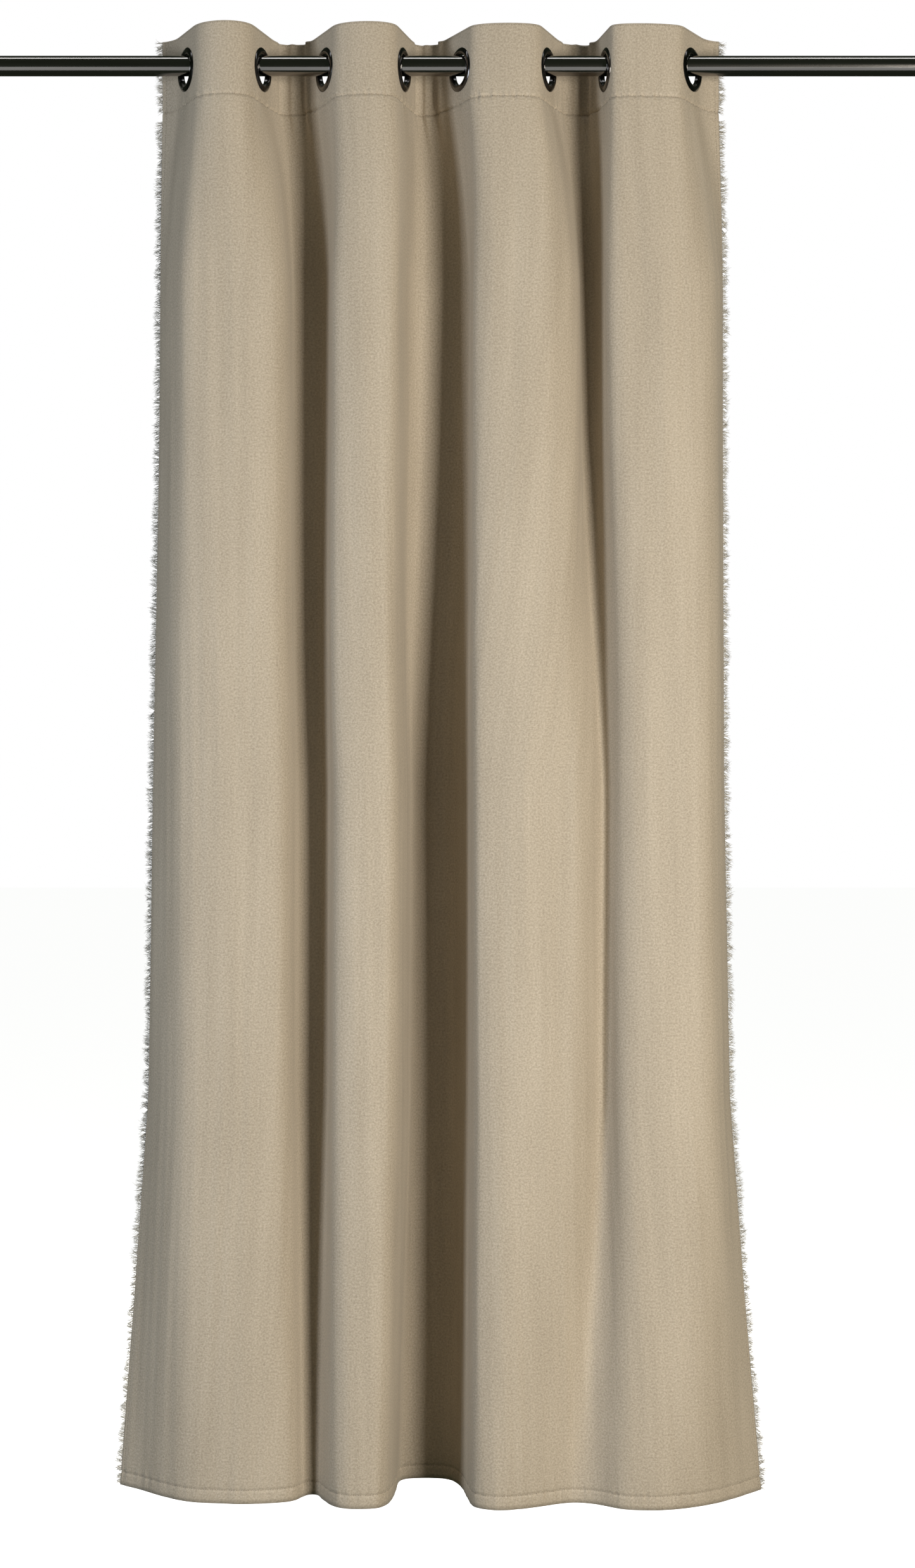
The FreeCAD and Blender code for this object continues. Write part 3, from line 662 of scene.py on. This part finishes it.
def material(name, **sockets):
    """A Principled material; sockets are its plain settings."""
    made = bpy.data.materials.new(name)
    made.use_nodes = True
    shader = made.node_tree.nodes["Principled BSDF"]
    for key, number in sockets.items():
        shader.inputs[key.replace("_", " ")].default_value = number
    return made, made.node_tree, shader


def node(tree, kind, **settings):
    made = tree.nodes.new("ShaderNode" + kind)
    for key, number in settings.items():
        if key in made.inputs:
            made.inputs[key].default_value = number
        else:
            setattr(made, key, number)
    return made


def coordinates(tree, output, scale):
    """Texture coordinates, stretched; the cloth's own are in metres along and down it."""
    source = node(tree, "TexCoord")
    mapping = node(tree, "Mapping")
    mapping.inputs["Scale"].default_value = scale
    tree.links.new(source.outputs[output], mapping.inputs["Vector"])
    return mapping.outputs["Vector"]


def noise(tree, vector, detail, roughness=0.5):
    made = node(tree, "TexNoise", Scale=1.0, Detail=detail, Roughness=roughness)
    tree.links.new(vector, made.inputs["Vector"])
    return made.outputs["Fac"]


def math_node(tree, operation, first, second):
    made = node(tree, "Math", operation=operation)
    for index, item in enumerate((first, second)):
        if isinstance(item, (int, float)):
            made.inputs[index].default_value = item
        else:
            tree.links.new(item, made.inputs[index])
    return made.outputs[0]


def ramp(tree, factor, stops):
    made = node(tree, "ValToRGB")
    for index, (place_at, colour) in enumerate(stops):
        stop = made.color_ramp.elements[index] if index < 2 else made.color_ramp.elements.new(place_at)
        stop.position = place_at
        stop.color = (*colour, 1)
    tree.links.new(factor, made.inputs["Fac"])
    return made.outputs["Color"]


def coloured(tree, shader, factor, stops):
    tree.links.new(ramp(tree, factor, stops), shader.inputs["Base Color"])


def roughened(tree, shader, factor, low, high):
    spread = node(tree, "MapRange")
    tree.links.new(factor, spread.inputs["Value"])
    spread.inputs["To Min"].default_value, spread.inputs["To Max"].default_value = low, high
    tree.links.new(spread.outputs["Result"], shader.inputs["Roughness"])


def bump(tree, shader, height, strength, distance):
    made = node(tree, "Bump", Strength=strength, Distance=distance)
    tree.links.new(height, made.inputs["Height"])
    tree.links.new(made.outputs["Normal"], shader.inputs["Normal"])


def velvet():
    """Short-pile velvet over a slubbed weave: grain, long streaks and a soft sheen."""
    made, tree, shader = material(
        "velvet", Roughness=0.62, Sheen_Weight=0.25, Sheen_Roughness=0.45, Specular_IOR_Level=0.35,
    )
    shader.inputs["Sheen Tint"].default_value = (0.93, 0.9, 0.84, 1)
    grain = noise(tree, coordinates(tree, "UV", (330, 330, 1)), 4, 0.75)
    streak = noise(tree, coordinates(tree, "UV", (60, 2, 1)), 2, 0.5)
    cloud = noise(tree, coordinates(tree, "UV", (12, 3, 1)), 3, 0.6)
    mixed = math_node(tree, "MULTIPLY", grain, 0.76)
    mixed = math_node(tree, "ADD", mixed, math_node(tree, "MULTIPLY", streak, 0.1))
    mixed = math_node(tree, "ADD", mixed, math_node(tree, "MULTIPLY", cloud, 0.14))
    coloured(tree, shader, mixed, (
        (0.32, (0.291, 0.244, 0.183)), (0.5, (0.436, 0.372, 0.289)), (0.68, (0.582, 0.508, 0.407)),
    ))
    threads = node(tree, "TexWave", Scale=1.0, Distortion=1.5, Detail=1.0)
    tree.links.new(coordinates(tree, "UV", (260, 260, 1)), threads.inputs["Vector"])
    height = math_node(tree, "ADD", math_node(tree, "MULTIPLY", threads.outputs["Fac"], 0.35), grain)
    bump(tree, shader, height, 0.35, 0.0006)
    return made


def lining_cloth():
    made, tree, shader = material("lining", Roughness=0.9, Sheen_Weight=0.2, Specular_IOR_Level=0.1)
    weave = noise(tree, coordinates(tree, "UV", (700, 700, 1)), 2)
    coloured(tree, shader, weave, ((0.3, (0.26, 0.22, 0.165)), (0.7, (0.42, 0.36, 0.28))))
    bump(tree, shader, weave, 0.3, 0.0004)
    return made


def thread():
    made, tree, shader = material("thread", Roughness=0.7, Sheen_Weight=0.2)
    twist = noise(tree, coordinates(tree, "Object", (900, 900, 900)), 1)
    coloured(tree, shader, twist, ((0.3, (0.06, 0.05, 0.036)), (0.7, (0.13, 0.11, 0.08))))
    bump(tree, shader, twist, 0.3, 0.0002)
    return made


def fringe_thread():
    made, tree, shader = material("fringe_thread", Roughness=0.85, Sheen_Weight=0.3)
    shade = noise(tree, coordinates(tree, "Object", (300, 300, 500)), 2)
    coloured(tree, shader, shade, ((0.3, (0.32, 0.305, 0.265)), (0.7, (0.7, 0.67, 0.6))))
    return made


def brushed(name, dark, light, rough, stretch):
    """Brushed metal: fine scratches that vary the colour and the roughness."""
    made, tree, shader = material(name, Metallic=1.0)
    scratch = noise(tree, coordinates(tree, "Object", stretch), 3, 0.65)
    coloured(tree, shader, scratch, ((0.35, dark), (0.65, light)))
    roughened(tree, shader, scratch, *rough)
    bump(tree, shader, scratch, 0.01, 0.00005)
    return made


def eyelet_metal():
    made, tree, shader = material("eyelet_metal", Metallic=1.0, Coat_Weight=0.6, Coat_Roughness=0.06)
    haze = noise(tree, coordinates(tree, "Object", (90, 90, 90)), 3)
    coloured(tree, shader, haze, ((0.3, (0.035, 0.034, 0.036)), (0.7, (0.075, 0.073, 0.075))))
    roughened(tree, shader, haze, 0.12, 0.24)
    return made


def dress(obj, made):
    obj.data.materials.clear()
    obj.data.materials.append(made)


# ---- camera, room and light ----------------------------------------------------

CAMERA_AWAY, CAMERA_Z = 3.8, -1.078
SENSOR, LENS = 36, 58.1
FLOOR_Z, FLOOR_HALF = HEM_Z - 0.32, 30
FILL_COLOUR, FILL_STRENGTH = (0.84, 1, 0.66, 1), 0.034
MIDDLE_Z = -1.1


def camera():
    made = bpy.data.objects.new("camera", bpy.data.cameras.new("camera"))
    made.data.sensor_width = SENSOR
    made.data.lens = LENS
    made.location = (0, ROD_Y - CAMERA_AWAY, CAMERA_Z)
    made.rotation_euler = (math.radians(90), 0, 0)
    bpy.context.scene.collection.objects.link(made)
    bpy.context.scene.camera = made


def area_light(name, place_at, target, size, power, colour):
    """A rectangular light that points at a target, with its power in watts."""
    lamp = bpy.data.lights.new(name, "AREA")
    lamp.shape, lamp.size, lamp.size_y = "RECTANGLE", size[0], size[1]
    lamp.energy, lamp.color = power, colour
    made = bpy.data.objects.new(name, lamp)
    made.location = place_at
    way = Vector(target) - Vector(place_at)
    made.rotation_euler = way.to_track_quat("-Z", "Y").to_euler()
    made.visible_camera = False
    bpy.context.scene.collection.objects.link(made)
    return made


def world():
    """A white background that the camera sees, and a faint fill that lights the object."""
    made = bpy.data.worlds.new("room")
    bpy.context.scene.world = made
    made.use_nodes = True
    tree = made.node_tree
    tree.nodes.clear()
    seen = tree.nodes.new("ShaderNodeBackground")
    seen.inputs["Color"].default_value = (1, 1, 1, 1)
    lit = tree.nodes.new("ShaderNodeBackground")
    lit.inputs["Color"].default_value = FILL_COLOUR
    lit.inputs["Strength"].default_value = FILL_STRENGTH
    path = tree.nodes.new("ShaderNodeLightPath")
    mixed = tree.nodes.new("ShaderNodeMixShader")
    out = tree.nodes.new("ShaderNodeOutputWorld")
    tree.links.new(path.outputs["Is Camera Ray"], mixed.inputs[0])
    tree.links.new(lit.outputs[0], mixed.inputs[1])
    tree.links.new(seen.outputs[0], mixed.inputs[2])
    tree.links.new(mixed.outputs[0], out.inputs[0])
    bpy.context.scene.view_settings.view_transform = "Standard"


def floor():
    """A plain pale floor that neither colours the cloth nor shows in the metal."""
    corners = [(x * FLOOR_HALF, y * FLOOR_HALF, FLOOR_Z) for x, y in ((-1, -1), (1, -1), (1, 1), (-1, 1))]
    made = linked("floor", corners, [(0, 1, 2, 3)], smooth=False)
    paint, _, shader = material("floor", Roughness=0.9)
    shader.inputs["Base Color"].default_value = (0.9, 0.9, 0.9, 1)
    shader.inputs["Emission Color"].default_value = (1, 1, 1, 1)
    shader.inputs["Emission Strength"].default_value = 0.95
    dress(made, paint)
    made.visible_diffuse = False
    made.visible_glossy = False


def lights():
    """A warm key from the right, a cool fill from the left, a back light, and two strips for the rod."""
    middle = (0, ROD_Y, MIDDLE_Z)
    area_light("key", (2.1, -3.45, MIDDLE_Z), middle, (1.0, 1.8), 158, (1, 0.935, 0.825))
    area_light("left_light", (-3.0, -2.6, MIDDLE_Z), middle, (0.8, 2.0), 78, (0.86, 0.92, 1))
    area_light("rod_strip", (0, ROD_Y - 0.15, 1.2), (0, ROD_Y, 0), (4.0, 0.25), 10, (1, 1, 1))
    sheen = area_light("rod_sheen", (0, -1.4, -1.2), (0, ROD_Y, 0), (4.0, 1.2), 8, (1, 1, 1))
    sheen.visible_diffuse = False
    behind = area_light("back_light", (-0.9, 3.4, -0.8), middle, (2.2, 2.2), 95, (1, 0.97, 0.92))
    behind.visible_glossy = False


# ---- everything together ---------------------------------------------------------

camera()
world()
floor()
lights()

VELVET, LINED, THREAD, FRAYED = velvet(), lining_cloth(), thread(), fringe_thread()

cloth = cloth_panel()
lining = heading_lining()
hem = bottom_hem()
SIDES = (("left", 0.0), ("right", CLOTH_WIDTH))
side_hems = {side: side_hem(side, edge) for side, edge in SIDES}
fringes = {side: fringe(side, edge) for side, edge in SIDES}
seams = [
    stitched_row("heading_seam_stitches", SEAM_Z),
    stitched_row("top_edge_stitches", TOP_Z - TOP_STITCH),
    stitched_row("bottom_hem_stitches", HEM_LINE_Z),
    *(stitched_side(f"{side}_side_stitches", edge) for side, edge in SIDES),
]


def soft_piece(obj, made, slot, *nodes):
    """A piece of the cloth: it rides with the curtain, and the CAD parts that it replaces are hidden."""
    dress(obj, made)
    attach(obj, "curtain")
    if nodes:
        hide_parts(*nodes)
    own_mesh(obj)


soft_piece(cloth, VELVET, "velvet", "curtain_panel")
soft_piece(lining, LINED, "velvet", "heading_facing", "heading_stiffener")
soft_piece(hem, VELVET, "velvet", "bottom_hem_facing")
for side, _ in SIDES:
    soft_piece(side_hems[side], VELVET, "velvet", f"{side}_side_hem")
    soft_piece(fringes[side], FRAYED, "fringe", f"{side}_fringe")
for seam in seams:
    soft_piece(seam, THREAD, "velvet")

PAINTS = {
    "rod_metal": brushed(
        "rod_metal", dark=(0.27, 0.262, 0.255), light=(0.33, 0.32, 0.31), rough=(0.13, 0.16),
        stretch=(3, 90, 90),
    ),
    "bracket_metal": brushed(
        "bracket_metal", dark=(0.07, 0.067, 0.066), light=(0.15, 0.145, 0.14), rough=(0.28, 0.42),
        stretch=(300, 300, 40),
    ),
    "screw_steel": brushed(
        "screw_steel", dark=(0.08, 0.08, 0.08), light=(0.2, 0.2, 0.2), rough=(0.25, 0.4),
        stretch=(500, 500, 500),
    ),
    "eyelet_metal": eyelet_metal(),
}
for part in frame["record"]["subparts"]:
    if part["material_slot"] in PAINTS:
        dress(NODES[part["node"]], PAINTS[part["material_slot"]])
